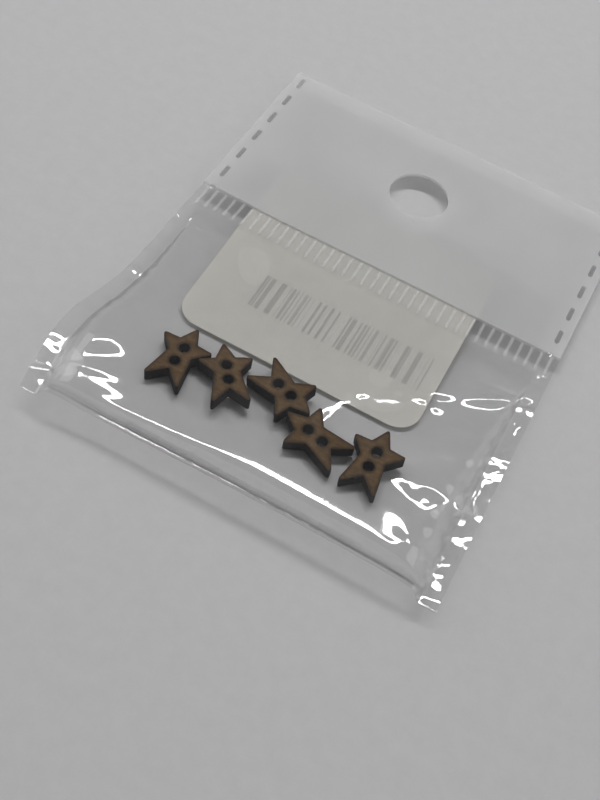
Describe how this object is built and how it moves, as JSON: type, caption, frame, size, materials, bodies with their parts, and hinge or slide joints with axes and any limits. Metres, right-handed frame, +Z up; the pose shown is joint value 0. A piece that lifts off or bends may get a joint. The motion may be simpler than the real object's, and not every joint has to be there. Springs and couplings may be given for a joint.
{
  "type": "bag of buttons",
  "caption": "Small clear film header bag with a punched round hang hole, a paper label on its back and star-shaped wooden buttons sealed inside.",
  "frame": {"origin": "on the table, under the middle of the bag's bounding box", "axes": "+X across the bag, +Y along it from the pouch's bottom fold to the header's fold, +Z up from the table through the bag's front"},
  "size_m": [0.05, 0.0668, 0.0071],
  "materials": {
    "clear_film": "clear glossy film",
    "white_film": "white satin film, slightly see-through",
    "label_paper": "smooth paper",
    "button_wood": "bare laser-cut wood with burnt edges"
  },
  "bodies": {
    "root": {"pouch": "clear_film", "header": "white_film", "label": "label_paper", "star_button_1": "button_wood", "star_button_2": "button_wood", "star_button_3": "button_wood", "star_button_4": "button_wood", "star_button_5": "button_wood"}
  },
  "joints": []
}
